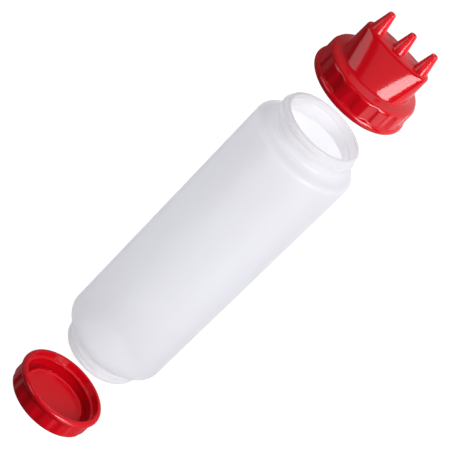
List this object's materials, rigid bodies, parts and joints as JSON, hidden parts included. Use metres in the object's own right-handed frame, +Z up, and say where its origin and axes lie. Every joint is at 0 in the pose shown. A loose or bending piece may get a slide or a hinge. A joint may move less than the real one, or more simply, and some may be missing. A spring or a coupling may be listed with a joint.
{
  "type": "condiment squeeze bottle",
  "caption": "Soft squeeze bottle laid out in pieces: an open tube with a threaded neck at each end, a cap with a row of nozzles at one and a plain cap at the other.",
  "frame": {"origin": "middle of the narrow flat on the underside of the bottle, on the surface it lies on", "axes": "+X along the bottle's axis towards the cap with the nozzles, +Z up, the row of nozzles along Y"},
  "size_m": [0.3665, 0.07, 0.0698],
  "materials": {
    "frosted_ldpe": "moulded natural low-density polyethylene, translucent, satin",
    "red_pp": "moulded red polypropylene, glossy"
  },
  "bodies": {
    "root": {"bottle": "frosted_ldpe", "top_cap": "red_pp", "bottom_cap": "red_pp"}
  },
  "joints": []
}
